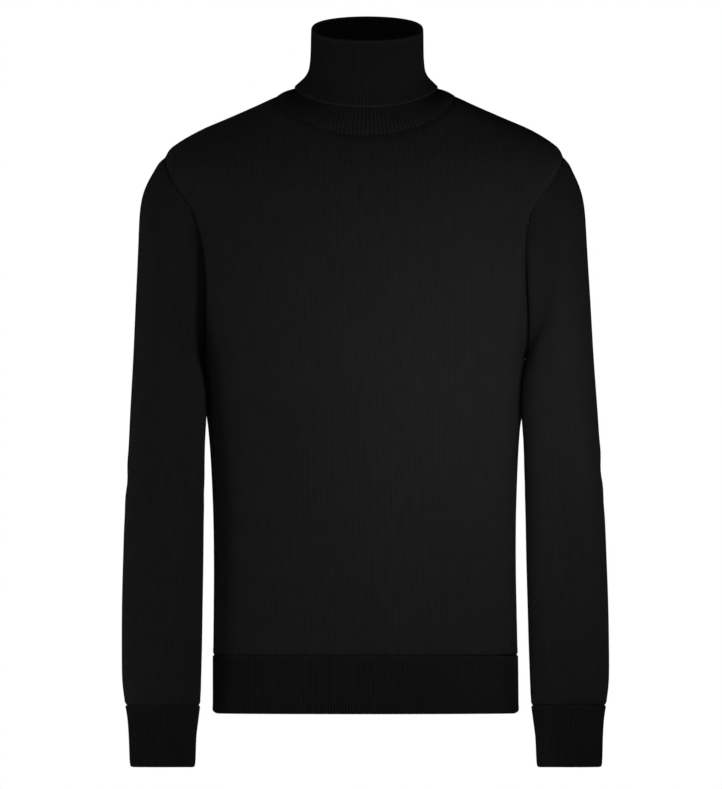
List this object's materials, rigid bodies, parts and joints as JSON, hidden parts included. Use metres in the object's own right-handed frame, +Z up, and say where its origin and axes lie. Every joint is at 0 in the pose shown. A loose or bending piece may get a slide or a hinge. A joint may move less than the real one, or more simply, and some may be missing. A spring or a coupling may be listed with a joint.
{
  "type": "turtleneck sweater",
  "caption": "Fine-knit long-sleeved turtleneck pullover, filled out as worn and hollow, with a turned-down rib collar, rib cuffs and a rib hem band.",
  "frame": {"origin": "middle of the neck at the height of the shoulders' neck points, where the wearer holds the garment up", "axes": "+Z up along the wearer's trunk towards the collar, the front faces -Y, and +X is towards the wearer's left"},
  "size_m": [0.5374, 0.2344, 0.8284],
  "materials": {
    "jersey_knit": "matt fine-gauge black wool jersey, narrow vertical wales, soft short nap",
    "rib_knit": "matt fine black one-by-one rib of the same wool"
  },
  "bodies": {
    "root": {"front_body": "jersey_knit", "back_body": "jersey_knit", "left_sleeve": "jersey_knit", "right_sleeve": "jersey_knit", "collar": "rib_knit", "hem_rib": "rib_knit", "left_cuff": "rib_knit", "right_cuff": "rib_knit"}
  },
  "joints": []
}
